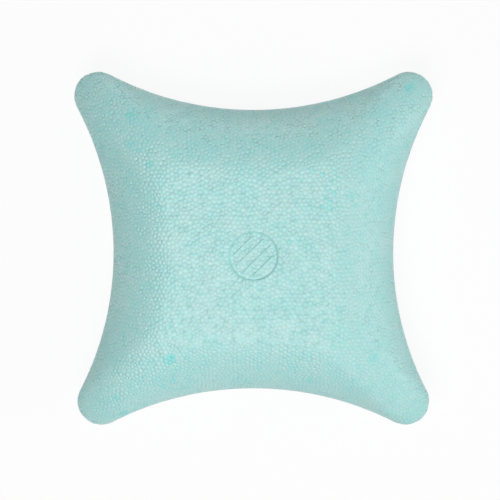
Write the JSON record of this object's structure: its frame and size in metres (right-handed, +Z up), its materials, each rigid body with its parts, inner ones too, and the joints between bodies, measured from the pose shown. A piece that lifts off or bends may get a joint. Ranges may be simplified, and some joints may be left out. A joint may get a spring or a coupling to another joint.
{
  "type": "pillow-shaped foam form",
  "caption": "Square pillow-shaped form of fused foam beads with four hollow sides, rounded tips, flat seats and a round vent mark, moulded in two halves.",
  "frame": {"origin": "middle of the flat seat underneath, on the surface that the form rests on", "axes": "+Z up through the middle of both seats; +X and +Y through the middles of two neighbouring hollow sides, so the tips lie on the diagonals"},
  "size_m": [0.2, 0.2, 0.06],
  "materials": {
    "bead_foam": "moulded expanded-bead foam, pale turquoise, fine polygonal bead relief",
    "glue_film": "thin milky contact glue between the halves"
  },
  "bodies": {
    "root": {"upper_half": "bead_foam", "lower_half": "bead_foam", "seam_glue": "glue_film"}
  },
  "joints": []
}
